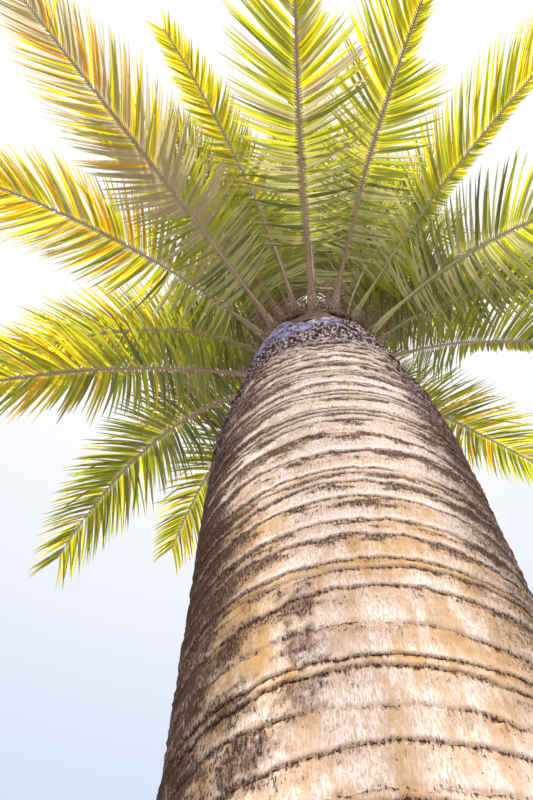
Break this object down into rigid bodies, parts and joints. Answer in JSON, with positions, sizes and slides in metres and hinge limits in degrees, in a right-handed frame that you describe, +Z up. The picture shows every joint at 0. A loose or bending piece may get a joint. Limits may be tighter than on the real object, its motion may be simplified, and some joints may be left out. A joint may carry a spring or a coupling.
{
  "type": "feather palm tree",
  "caption": "Stout feather palm with a thick ringed trunk, root flare, sheath collar and a full crown of arching feather fronds, fixed in level ground.",
  "frame": {"origin": "middle of the flat cut under the trunk, at ground level", "axes": "+Z up along the trunk, -Y towards the side from which the tree was pictured, +X to the right of that view"},
  "size_m": [6.9707, 6.9642, 8.7179],
  "materials": {
    "bark": "pale weathered bark with dark ring scars, matt",
    "sheath": "rough brown fibre with a grey waxy bloom, matt",
    "frond": "living green leaf, satin, lit through from above",
    "spear": "folded pale green leaf, satin"
  },
  "bodies": {
    "root": {"trunk": "bark", "sheath_collar": "sheath", "spear_leaf": "spear", "frond_01": "frond", "frond_02": "frond", "frond_03": "frond", "frond_04": "frond", "frond_05": "frond", "frond_06": "frond", "frond_07": "frond", "frond_08": "frond", "frond_09": "frond", "frond_10": "frond", "frond_11": "frond", "frond_12": "frond", "frond_13": "frond", "frond_14": "frond", "frond_15": "frond", "frond_16": "frond", "frond_17": "frond", "frond_18": "frond", "frond_19": "frond", "frond_20": "frond", "frond_21": "frond", "frond_22": "frond", "frond_23": "frond", "frond_24": "frond", "frond_25": "frond", "frond_26": "frond", "frond_27": "frond", "frond_28": "frond", "frond_29": "frond", "frond_30": "frond", "frond_31": "frond", "frond_32": "frond", "frond_33": "frond", "frond_34": "frond", "frond_35": "frond", "frond_36": "frond", "frond_37": "frond", "frond_38": "frond", "frond_39": "frond", "frond_40": "frond", "frond_41": "frond", "frond_42": "frond"}
  },
  "joints": []
}
